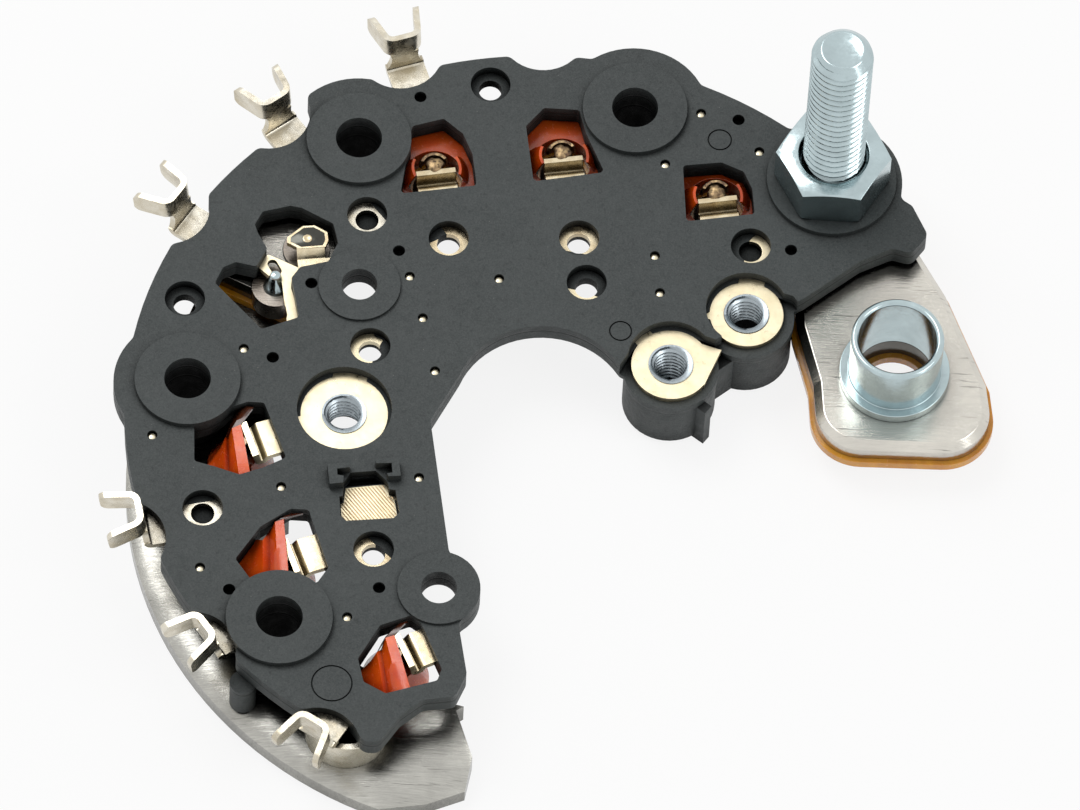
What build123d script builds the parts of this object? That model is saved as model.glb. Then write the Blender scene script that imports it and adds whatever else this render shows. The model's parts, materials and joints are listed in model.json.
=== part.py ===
from build123d import *
from math import atan2, cos, degrees, radians, sin
import os

os.makedirs("parts", exist_ok=True)


def polar(radius, angle):
    """Point at a radius and an angle round the shaft axis."""
    return (radius * cos(radians(angle)), radius * sin(radians(angle)))


# Frame: the origin is on the alternator's shaft axis, in the underside of the negative
# heat sink. +Z points along the B+ stud. All sizes are millimetres, all angles degrees.

# Stack of layers, from the underside up
negative_thickness = 3.5
insulator_thickness = 1.3
positive_thickness = 3.0
board_gap = 0.7
board_thickness = 3.0
disc_height = 0.8
small_disc_height = 0.4

negative_top = negative_thickness
insulator_top = negative_top + insulator_thickness
positive_top = insulator_top + positive_thickness
board_bottom = positive_top + board_gap
board_top = board_bottom + board_thickness

# Clearances
pass_clearance = 0.3

# Bus bars, which lie inside the board
bar_thickness = 0.8
lug_recess = 1.5
bar_top = board_top - lug_recess
bar_bottom = bar_top - bar_thickness
bar_middle = bar_bottom + bar_thickness / 2

# Board outline
board_radius = 53.6
board_centre = (0.4, -1.0)
board_start_angle = 54.0
board_end_angle = 244.6
inner_opening_radius = 11.7
scallop_radius = 5.5
scallop_depth = 2.2
spare_scallop_angle = 92.5
board_rounding = 1.2
end_rounding = 1.5

# Mounting points: four deep tubes, two short ones and the stud's seat
tube_places = [(-25.4, 38.0), (10.1, 45.0), (-45.3, 0.5), (-31.5, -33.7)]
tube_hole_radius = 3.0
tube_wall = 1.2
tube_shoulder_radius = 4.9
tube_disc_radius = 6.8
tube_lobe_radius = 9.5
tube_end_height = 0.3
locating_places = [(-24.1, 16.2), (-11.5, -27.9)]
locating_hole_radius = 2.3
locating_disc_radius = 5.3
stud_place = (36.0, 36.0)
stud_seat_radius = 8.4
stud_lobe_radius = 9.2

# Terminals with threaded inserts
phase_lug_place = (-25.0, -2.1)
sense_lug_place = (25.9, 16.2)
signal_lug_place = (16.5, 8.0)
phase_lug_radius = 5.6
sense_lug_radius = 4.8
signal_lug_radius = 5.1
pocket_clearance = 0.5
boss_radius = 6.2
boss_bottom = 0.8
boss_seam = 8.0
boss_seam_step = 0.2
boss_web = 7.0
hook_bottom = 0.1
hook_place = (20.8, 3.4)
hook_turn = -35
hook_length = 2.0
hook_width = 1.3
phase_boss_wall = 1.8
pocket_rounding = 0.6
phase_boss_bottom = 5.0
insert_radius = 3.4
insert_collar_radius = 2.9
insert_bore_radius = 2.1
insert_relief_radius = 2.5
insert_rise = 0.15

# Small holes of the board
stepped_outer_radius = 2.6
stepped_inner_radius = 1.5
stepped_places = [(-8.8, 47.7), (-23.7, 27.0), (-13.0, 24.1), (-46.4, 12.8), (3.8, 25.3),
                  (5.1, 18.7), (-22.2, 7.4), (-42.2, -18.0), (-20.1, -22.6), (26.0, 25.6)]
blind_stepped_places = [(-23.7, 27.0), (-42.2, -18.0), (26.0, 25.6)]
blind_depth = 2.7
peep_radius = 0.65
peep_places = [(-49.3, -7.7), (-38.4, 5.9), (-32.4, -14.2), (-42.0, -26.7), (-22.9, -32.7),
               (-14.9, -11.7), (-13.7, 4.2), (-15.7, 12.0), (-17.7, 18.1), (-6.2, 18.5),
               (13.7, 23.3), (14.6, 17.8), (14.4, 37.2), (18.7, 45.2), (26.5, 39.9)]
pin_radius = 0.8
pin_depth = 1.4
pin_places = [(-17.8, 45.2), (-19.3, 21.8), (-30.3, 16.2), (-34.6, 4.8), (-38.1, -29.7),
              (-19.1, -28.2), (23.6, 44.5), (31.2, 25.3)]
ejector_marks = [(-24.3, -42.5, 2.65), (21.3, 41.3, 1.6), (9.8, 11.7, 1.5)]
ejector_ring_width = 0.2
ejector_ring_depth = 0.2

# Windows of the board over the diode leads, as their corners
window_corner = 0.5
windows = [
    [(-19.6, 30.4), (-9.8, 32.3), (-10.6, 37.0), (-12.0, 40.0), (-14.6, 42.1), (-18.6, 40.7)],
    [(-2.5, 33.4), (6.6, 35.4), (3.9, 41.2), (2.9, 44.6), (-1.7, 44.6), (-3.9, 41.7)],
    [(17.5, 28.7), (26.3, 30.4), (25.8, 34.2), (24.6, 36.7), (21.7, 37.9), (16.7, 37.1)],
    [(-44.1, -5.0), (-43.7, -11.2), (-41.2, -11.8), (-37.8, -12.8), (-34.9, -11.6),
     (-32.0, -9.9), (-35.3, -2.0), (-37.4, -2.0)],
    [(-31.0, -17.4), (-28.7, -17.4), (-25.7, -25.7), (-27.0, -28.0), (-35.5, -28.0),
     (-37.6, -25.2), (-34.7, -20.3)],
    [(-14.9, -32.0), (-13.5, -33.0), (-10.5, -39.5), (-11.0, -41.2), (-17.4, -43.5),
     (-20.3, -42.0), (-21.2, -38.7), (-18.7, -33.7)],
    [(-38.1, 24.5), (-37.2, 26.5), (-33.7, 27.6), (-32.2, 27.4), (-28.0, 25.3), (-27.2, 22.5),
     (-28.3, 19.6), (-31.9, 18.5), (-32.9, 16.8), (-31.6, 11.0), (-36.3, 8.9), (-42.7, 15.4),
     (-41.8, 17.8), (-40.2, 18.7), (-37.5, 18.2), (-36.3, 21.0), (-37.6, 23.2)],
]

# Diodes: place of each lead, and the direction from its tab's foot to the lead
diode_places = [(-15.4, 35.4), (1.0, 38.4), (21.2, 33.7), (-37.9, -7.6), (-31.6, -24.4), (-16.4, -37.3)]
tab_angles = [101.3, 100.4, 101.0, 201.5, 202.0, 206.0]
upper_diode_places = [(-31.3, 23.2), (-35.0, 17.4)]
diode_radius = 3.0
diode_base = 0.6
diode_rise = 0.3
diode_lug_wall = 0.7
lead_radius = 0.7
lead_top = board_top - 0.6
seal_base_radius = 2.7
seal_base_height = 0.3
seal_top_radius = 1.1
seal_height = 2.2

# Eight-sided head over the first upper diode, and the flag over the second
head_foot = (-30.5, 20.4)
head_angle = 99.0
head_middle = 10.7
head_bend = 0.5
head_root = 1.2
head_rise_start = 0.5
head_rise_end = 1.5
head_reach = 2.6
head_neck_width = 3.6
head_corners = [(-33.8, 23.1), (-31.9, 24.9), (-30.4, 25.1), (-28.7, 24.2), (-28.5, 23.0), (-28.8, 22.0),
                (-32.1, 21.5), (-33.8, 22.3)]
flag_corners = [(-36.2, 21.0), (-34.5, 20.3), (-32.0, 19.2), (-32.9, 17.6), (-32.9, 16.2), (-31.2, 11.0),
                (-33.0, 11.6), (-33.7, 14.4), (-34.0, 16.3), (-34.3, 17.6), (-35.6, 17.6), (-37.4, 19.1)]
flag_slot = [(-35.5, 19.6), (-34.9, 18.6)]
flag_slot_width = 1.3

# Hoods and sleeves of the insulator round the leads
collar_radius = 4.3
collar_top_radius = 2.4
collar_wall = 1.1
collar_top = board_bottom - 0.3
sleeve_wall = 0.6
sleeve_flange = 0.4
sleeve_margin = 0.8
fold_half_width = 1.1
fold_depth = 0.8
fold_turn = 83.0

# Heat sinks
sink_inner_radius = 34.5
sink_outer_radius = 48.4
sink_split_angle = 155.7
negative_start_angle = 53.5
negative_end_angle = 205
edge_bevel = 2.2
edge_bevel_height = 1.2
lobe_bevel = 1.0

# Weld tabs, measured from the lead's axis toward the foot
tab_width = 5.1
tab_reach = 4.2
tab_root = 1.5
tab_shelf_end = 2.9
tab_dip_start = 2.3
tab_dip_end = 1.55
tab_dip_middle = board_bottom + 0.3
tab_end = 1.12
tab_crest = bar_top + 1.0
tab_bend = 0.45

# Bus bars: radius of each ring section, its span of angles and where its legs leave it
bar_width = 4.4
bar_leg_width = 4.0
thin_leg_width = 2.6
leg_lead_in = 1.2
north_bar_radius = 26.4
west_bar_radius = 24.8
south_bar_radius = 31.2
signal_bar_radius = 17.4
north_bar_span = (54, 94)
north_bar_legs = (56, 88)
head_bar_span = (108, 132)
head_bar_legs = (112, 131)
head_bar_bend = (-26.0, 20.2)
head_bar_end = (-30.2, 19.3)
west_bar_span = (156, 190)
west_bar_legs = (158, 187)
flag_bar_end = (-31.9, 11.6)
south_bar_span = (222, 237)
south_bar_leg = 225
last_bar_end = (-9.9, -36.6)
signal_bar_span = (30, 217)
signal_bar_leg = 215
signal_bar_end = (-18.6, -13.4)
signal_lug_tip = [(22.9, 10.6), (20.9, 5.2), (15.0, 12.9)]
sense_bar_path = [(26.0, 19.0), (27.4, 26.6), (32.6, 32.6)]
sense_bar_width = 3.4
sense_ring_radius = 7.2
sense_lug_tip_angle = 187
sense_lug_tip_radius = 1.0

# Stator terminals: angle of each scallop, place of each riser, its facing and its root's length
fork_angles = [111.9, 132.0, 152.0, 203.9, 222.6, 243.6]
fork_places = [(-20.15, 50.94), (-35.86, 40.75), (-47.55, 25.83), (-49.44, -20.69), (-40.04, -36.82),
               (-25.71, -49.45)]
fork_facings = [110.6, 129.7, 149.2, 193.9, 217.5, 240.0]
fork_roots = [8.0, 20.5, 8.1, 11.0, 5.0, 6.5]
fork_foot_width = 5.0
fork_riser_width = 4.6
fork_neck_width = 3.6
fork_riser_length = 6.1
fork_lean = 7.5
fork_bend = 0.8
prong_height = 3.0
prong_length = 4.9
prong_gap = 4.0
prong_flare = 12.9
prong_bend = 1.2
prong_tip_rounding = 1.0

# B+ stud, nut and spacer bush
stud_radius = 4.0
stud_neck_radius = 3.4
stud_top = 44.0
stud_head_radius = 6.5
stud_head_thickness = 2.6
stud_chamfer = 0.9
nut_across_flats = 13.0
nut_thickness = 6.2
nut_face_radius = 6.9
nut_corner_radius = 7.6
nut_crown_radius = 6.3
nut_lower_bevel = 0.4
nut_upper_bevel = 0.6
nut_gap = 0.05
nut_mouth = 0.6
bush_place = (45.3, 9.7)
bush_height = 9.3
bush_radius = 6.0
bush_bore_radius = 5.0
bush_flange_radius = 7.1
bush_flange_thickness = 1.4
bush_chamfer = 0.3

# Ring between the lower plate and the board
ring_place = (-22.2, -45.0)
ring_radius = 5.3
ring_wall = 0.9
post_place = (-35.6, -41.4)
post_radius = 1.7


# Open fronts of the two outer lug pockets, regulator contact recess and brackets
pocket_fronts = [
    [(9.4, 5.6), (12.0, 10.6), (16.0, 13.2), (23.2, 10.9), (21.6, 3.0), (16.0, -0.5), (9.4, 1.0)],
    [(22.2, 13.0), (26.0, 20.0), (31.8, 18.4), (33.6, 16.0), (31.0, 8.0), (24.4, 8.8)],
]
contact_corners = [(-24.2, -13.1), (-19.2, -12.2), (-18.8, -13.9), (-18.0, -13.9), (-17.3, -17.0),
                   (-17.9, -17.7), (-23.7, -18.5), (-24.4, -17.9), (-24.7, -15.4), (-24.3, -15.3)]
contact_recess = [(-23.7, -11.6), (-20.5, -11.1), (-18.9, -12.6), (-18.6, -13.7), (-17.8, -13.8),
                  (-17.1, -17.0), (-17.8, -17.9), (-23.8, -18.7), (-24.6, -18.0), (-24.9, -15.2),
                  (-24.5, -15.1), (-24.4, -13.0)]
contact_slot = [(-23.6, -11.7), (-20.6, -11.2), (-19.4, -12.1), (-24.2, -12.9)]
contact_slot_floor = 0.4
contact_brackets = [
    [(-26.7, -11.3), (-23.8, -10.9), (-23.8, -11.6), (-25.4, -11.9), (-25.3, -12.8), (-24.5, -12.9),
     (-24.5, -13.9), (-26.2, -14.2)],
    [(-20.6, -10.2), (-17.7, -9.7), (-17.2, -12.4), (-18.8, -12.6), (-19.0, -12.2), (-18.3, -12.0),
     (-18.5, -10.6), (-20.5, -10.8)],
]
bracket_height = 1.4

# Lobe of the upper heat sink, which carries the stud and the bush
lobe_corners = [(32.6, 16.0), (35.0, 8.0), (36.0, -1.4), (58.8, -0.8), (57.2, 9.5), (51.5, 22.5),
                (45.5, 32.5), (33.0, 36.0), (27.4, 28.0), (31.5, 23.5)]
lobe_end_rounding = 6.0
lobe_rounding = 2.5
sink_lobe_radius = 6.0
stud_pad_radius = 8.6
insulator_margin = 0.6
insulator_bush_hole = 4.3
sink_start_angle = 44.0

# Wing of the lower heat sink that shows beyond the board
wing_centre = (-1.8, -6.95)
wing_radius = 50.8
wing_inner_radius = 41.0
wing_start_angle = 166
wing_sweep = 86
wing_inner_start = 259.5
wing_inner_sweep = -59.5
wing_tail = [(-11.4, -54.1), (-6.7, -52.0), (-6.0, -47.6), (-8.4, -41.0)]
wing_joint = polar(44.0, 172)
bevel_start_radius = 50.5


def shifted(place, distance, angle):
    """Point at a distance from a place, in the direction of an angle."""
    return (place[0] + distance * cos(radians(angle)), place[1] + distance * sin(radians(angle)))


def at(place, height=0.0):
    """Horizontal plane through a place, at a height."""
    return Plane((place[0], place[1], height))


def scallop_floor(angle):
    """Radius of the scallop's deepest point; the board's edge is a circle off the shaft axis."""
    edge = board_radius + board_centre[0] * cos(radians(angle)) + board_centre[1] * sin(radians(angle))
    return edge - scallop_depth


def upright(place, angle, height=0.0):
    """Vertical plane through a place: X runs outward along the angle, Y runs up."""
    across = (sin(radians(angle)), -cos(radians(angle)), 0)
    outward = (cos(radians(angle)), sin(radians(angle)), 0)
    return Plane(origin=(place[0], place[1], height), x_dir=outward, z_dir=across)


def sector(inner, outer, start, end):
    """Ring sector between two radii and two angles, for use inside a sketch."""
    with BuildLine() as edge:
        CenterArc((0, 0), inner, start, end - start)
        Line(polar(inner, end), polar(outer, end))
        CenterArc((0, 0), outer, start, end - start)
        Line(polar(outer, start), polar(inner, start))
    make_face(edge.edges())


def strip(start, end, width, mode=Mode.ADD):
    """Straight strip with round ends, for use inside a sketch."""
    middle = ((start[0] + end[0]) / 2, (start[1] + end[1]) / 2)
    run = (end[0] - start[0], end[1] - start[1])
    length = (run[0] ** 2 + run[1] ** 2) ** 0.5
    with Locations(Location((middle[0], middle[1], 0), (0, 0, degrees(atan2(run[1], run[0]))))):
        SlotCenterToCenter(length, width, mode=mode)


def outline(corners, rounding=0.0):
    """Closed outline with rounded corners, as a sketch to add or subtract."""
    with BuildSketch() as shape:
        with BuildLine():
            Polyline(*corners, close=True)
        make_face()
        if rounding > 0:
            fillet(shape.vertices(), rounding)
    return shape.sketch


def write(piece, name):
    """Name a finished piece and write its file."""
    piece.part.label = name
    export_step(piece.part, f"parts/{name}.step")


# Lead-through holes that pass bars and board alike
with BuildPart() as stepped_bores:
    with BuildSketch(Plane.XY.offset(board_bottom - 1)):
        with Locations(*stepped_places):
            Circle(stepped_inner_radius)
    extrude(amount=board_thickness + 2)


# Stator terminals: root in the board, foot, riser and two prongs that grip the stator wire
def stator_terminal(place, facing, root):
    """Sheet-metal fork; the riser leans outward and its top is bent into two flared prongs."""
    top = (fork_riser_length * sin(radians(fork_lean)),
           bar_middle + fork_riser_length * cos(radians(fork_lean)))
    lean = (sin(radians(fork_lean)), cos(radians(fork_lean)))
    outward = (lean[1] * cos(radians(facing)), lean[1] * sin(radians(facing)), -lean[0])
    sideways = (-sin(radians(facing)), cos(radians(facing)), 0)
    upward = (lean[0] * cos(radians(facing)), lean[0] * sin(radians(facing)), lean[1])
    foot = Plane(origin=(place[0], place[1], bar_middle), x_dir=sideways, z_dir=outward)
    crown = Plane(origin=foot.from_local_coords((0, fork_riser_length - prong_height, 0)),
                  x_dir=outward, z_dir=upward)
    inward_side = (sin(radians(facing)), -cos(radians(facing)), 0)
    flare = (cos(radians(prong_flare)), sin(radians(prong_flare)))
    with BuildPart() as prongs:
        with BuildSketch(crown):
            with BuildLine():
                FilletPolyline((prong_length * flare[0], prong_gap / 2 + prong_length * flare[1]),
                               (0, prong_gap / 2), (0, -prong_gap / 2),
                               (prong_length * flare[0], -prong_gap / 2 - prong_length * flare[1]),
                               radius=prong_bend)
            trace(line_width=bar_thickness)
        extrude(amount=prong_height)
        # rounded tips
        reach = prong_length * flare[0]
        with BuildSketch(Plane(origin=crown.origin, x_dir=outward, z_dir=inward_side)) as side_view:
            with Locations((reach / 2 - 1, prong_height / 2)):
                Rectangle(reach + 2, prong_height)
            fillet(side_view.vertices().group_by(Axis.X)[-1], prong_tip_rounding)
        extrude(amount=prong_gap * 2, both=True, mode=Mode.INTERSECT)
    with BuildPart() as terminal:
        with BuildSketch(upright(place, facing)):
            with BuildLine():
                FilletPolyline((-root, bar_middle), (0, bar_middle), top, radius=fork_bend)
            trace(line_width=bar_thickness)
        extrude(amount=fork_foot_width / 2, both=True)
        # hollow sides up to the prongs
        shoulder = fork_riser_length - prong_height
        flat = prong_gap / 2 - prong_bend
        with BuildSketch(foot):
            for side in (-1, 1):
                with BuildLine():
                    rise = ThreePointArc((side * fork_riser_width / 2, bar_thickness),
                                         (side * fork_neck_width / 2, shoulder * 0.7),
                                         (side * (fork_neck_width / 2 + 0.1), shoulder))
                    Polyline(rise @ 1, (side * flat, shoulder), (side * flat, fork_riser_length + 1),
                             (side * fork_foot_width, fork_riser_length + 1),
                             (side * fork_foot_width, bar_thickness), rise @ 0)
                make_face()
        extrude(amount=prong_height / 2, both=True, mode=Mode.SUBTRACT)
        add(prongs.part)
        add(stepped_bores.part, mode=Mode.SUBTRACT)
    return terminal


def ring_bar(radius, span, width=bar_width):
    """Ring section of a bus bar, for use inside a sketch."""
    sector(radius - width / 2, radius + width / 2, span[0], span[1])


def tab_leg(start, number, width=bar_leg_width):
    """Leg of a bus bar from a point to the foot of a weld tab, for use inside a sketch."""
    strip(start, shifted(diode_places[number], -tab_reach - leg_lead_in, tab_angles[number]), width)


def weld_tab(number):
    """Tab that leaves its foot in the window's wall, dips and rises to the diode's lead."""
    with BuildPart() as tab:
        with BuildSketch(upright(diode_places[number], tab_angles[number])):
            with BuildLine():
                FilletPolyline((-tab_reach - tab_root, bar_middle), (-tab_shelf_end, bar_middle),
                               (-tab_dip_start, tab_dip_middle), (-tab_dip_end, tab_dip_middle),
                               (-tab_end, tab_crest), radius=tab_bend)
            trace(line_width=bar_thickness)
        extrude(amount=tab_width / 2, both=True)
    return tab.part


stator_terminals = [stator_terminal(place, facing, root)
                    for place, facing, root in zip(fork_places, fork_facings, fork_roots)]


# Bus bar that joins the tabs of the third and the second window
with BuildPart() as phase_bar_1:
    with BuildSketch(Plane.XY.offset(bar_bottom)):
        ring_bar(north_bar_radius, north_bar_span)
        tab_leg(polar(north_bar_radius, north_bar_legs[0]), 2)
        tab_leg(polar(north_bar_radius, north_bar_legs[1]), 1)
    extrude(amount=bar_thickness)
    add(weld_tab(2))
    add(weld_tab(1))
    add(stepped_bores.part, mode=Mode.SUBTRACT)

# Bus bar of the first window, with the eight-sided head over the upper diode
head_centre = upper_diode_places[0]
head_bottom = head_middle - bar_thickness / 2
with BuildPart() as phase_bar_2:
    with BuildSketch(Plane.XY.offset(bar_bottom)):
        ring_bar(north_bar_radius, head_bar_span)
        tab_leg(polar(north_bar_radius, head_bar_legs[0]), 0)
        strip(polar(north_bar_radius, head_bar_legs[1]), head_bar_bend, thin_leg_width)
        strip(head_bar_bend, head_bar_end, thin_leg_width)
    extrude(amount=bar_thickness)
    add(weld_tab(0))
    # the strip dips, rises and ends in an eight-sided head
    with BuildSketch(upright(head_foot, head_angle)):
        with BuildLine():
            FilletPolyline((-head_root, bar_middle), (head_rise_start, bar_middle),
                           (head_rise_end, head_middle), (head_reach, head_middle), radius=head_bend)
        trace(line_width=bar_thickness)
    extrude(amount=head_neck_width / 2, both=True)
    with BuildSketch(Plane.XY.offset(head_middle - bar_thickness / 2)):
        add(outline(head_corners))
    extrude(amount=bar_thickness)
    add(stepped_bores.part, mode=Mode.SUBTRACT)

# Bus bar with the phase lug, the standing tab of the double window and the fourth window's tab
with BuildPart() as phase_bar_3:
    with BuildSketch(Plane.XY.offset(bar_bottom)):
        ring_bar(west_bar_radius, west_bar_span)
        with Locations(phase_lug_place):
            Circle(phase_lug_radius)
        strip(polar(west_bar_radius, west_bar_legs[0]), flag_bar_end, thin_leg_width)
        tab_leg(polar(west_bar_radius, west_bar_legs[1]), 3)
    extrude(amount=bar_thickness)
    add(weld_tab(3))
    with BuildSketch(Plane.XY.offset(bar_bottom)):
        add(outline(flag_corners, 0.3))
        strip(flag_slot[0], flag_slot[1], flag_slot_width, Mode.SUBTRACT)
        with Locations(upper_diode_places[1]):
            Circle(lead_radius, mode=Mode.SUBTRACT)
    extrude(amount=bar_thickness)
    with Locations(at(phase_lug_place, bar_bottom)):
        Cylinder(insert_collar_radius, bar_thickness, align=(Align.CENTER, Align.CENTER, Align.MIN),
                 mode=Mode.SUBTRACT)
    add(stepped_bores.part, mode=Mode.SUBTRACT)

# Bus bar of the fifth window
with BuildPart() as phase_bar_4:
    with BuildSketch(Plane.XY.offset(bar_bottom)):
        ring_bar(south_bar_radius, south_bar_span)
        tab_leg(polar(south_bar_radius, south_bar_leg), 4)
    extrude(amount=bar_thickness)
    add(weld_tab(4))
    add(stepped_bores.part, mode=Mode.SUBTRACT)

# Short bar of the sixth window
with BuildPart() as phase_bar_5:
    with BuildSketch(Plane.XY.offset(bar_bottom)):
        tab_leg(last_bar_end, 5, thin_leg_width)
    extrude(amount=bar_thickness)
    add(weld_tab(5))

# Signal bar: from the outer boss along the inner edge to the regulator contact
with BuildPart() as signal_bar:
    with BuildSketch(Plane.XY.offset(bar_bottom)):
        ring_bar(signal_bar_radius, signal_bar_span, thin_leg_width)
        with Locations(signal_lug_place):
            Circle(signal_lug_radius)
        add(outline(signal_lug_tip))
        add(outline(contact_corners))
        strip(polar(signal_bar_radius, signal_bar_leg), signal_bar_end, thin_leg_width)
        with Locations(signal_lug_place):
            Circle(insert_collar_radius, mode=Mode.SUBTRACT)
    extrude(amount=bar_thickness)
    add(stepped_bores.part, mode=Mode.SUBTRACT)

# Sense bar: from the inner boss to a ring under the stud's seat
with BuildPart() as sense_bar:
    with BuildSketch(Plane.XY.offset(bar_bottom)):
        with Locations(sense_lug_place):
            Circle(sense_lug_radius)
        strip(sense_bar_path[0], sense_bar_path[1], sense_bar_width)
        strip(sense_bar_path[1], sense_bar_path[2], sense_bar_width)
        with Locations(stud_place):
            Circle(sense_ring_radius)
            Circle(stud_radius + pass_clearance, mode=Mode.SUBTRACT)
        with Locations(shifted(sense_lug_place, sense_lug_radius, sense_lug_tip_angle)):
            RegularPolygon(sense_lug_tip_radius, 3, rotation=sense_lug_tip_angle)
        with Locations(sense_lug_place):
            Circle(insert_collar_radius, mode=Mode.SUBTRACT)
    extrude(amount=bar_thickness)
    add(stepped_bores.part, mode=Mode.SUBTRACT)

phase_bars = [phase_bar_1, phase_bar_2, phase_bar_3, phase_bar_4, phase_bar_5]


# Threaded inserts, moulded in under the lugs; the thread's crest diameter is the bore
def threaded_insert(place, bottom):
    with BuildPart() as insert:
        with Locations(at(place, bottom)):
            Cylinder(insert_radius, bar_bottom - bottom, align=(Align.CENTER, Align.CENTER, Align.MIN))
        with Locations(at(place, bar_bottom)):
            Cylinder(insert_collar_radius, bar_thickness + insert_rise,
                     align=(Align.CENTER, Align.CENTER, Align.MIN))
        with Locations(at(place, bar_bottom)):
            Hole(insert_bore_radius)
    return insert


insert_places = [phase_lug_place, sense_lug_place, signal_lug_place]
insert_bottoms = [phase_boss_bottom + 0.6, boss_bottom + 4.0, boss_bottom + 2.0]
insert_bore_ends = [phase_boss_bottom - 0.1, boss_bottom - 0.1, boss_bottom + 1.0]
inserts = [threaded_insert(place, bottom) for place, bottom in zip(insert_places, insert_bottoms)]


# Outline of the terminal board
with BuildSketch() as board_outline:
    with BuildLine():
        rim = CenterArc(board_centre, board_radius, board_start_angle,
                        board_end_angle - board_start_angle)
        lower_end = Polyline(rim @ 1, (-20.4, -50.6), (-17.9, -50.6), (-15.4, -46.6), (-12.6, -44.1),
                             (-8.6, -43.4), (-7.3, -40.0), (-8.5, -34.0), (-10.7, -21.2), (-13.9, -3.2),
                             (-10.5, 3.9))
        opening = ThreePointArc(lower_end @ 1, (-1.0, inner_opening_radius), (10.3, 6.0))
        Polyline(opening @ 1, (20.0, 10.0), (33.1, 18.1), (40.2, 24.2), (44.3, 26.4), (46.8, 25.8),
                 (48.8, 28.7), (46.6, 33.0), rim @ 0)
    make_face()
    for place in tube_places[:3]:
        with Locations(place):
            Circle(tube_lobe_radius)
    with Locations(stud_place):
        Circle(stud_lobe_radius)
    with Locations(*locating_places):
        Circle(locating_disc_radius)
    for angle in fork_angles + [spare_scallop_angle]:
        with Locations(polar(scallop_floor(angle) + scallop_radius, angle)):
            Circle(scallop_radius, mode=Mode.SUBTRACT)
    end_bends = board_outline.vertices().filter_by(lambda v: v.Y < -43.8)
    fillet(end_bends, end_rounding)
    corners = board_outline.vertices().filter_by(lambda v: v.Y > -43.5)
    fillet(corners, board_rounding)

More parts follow.
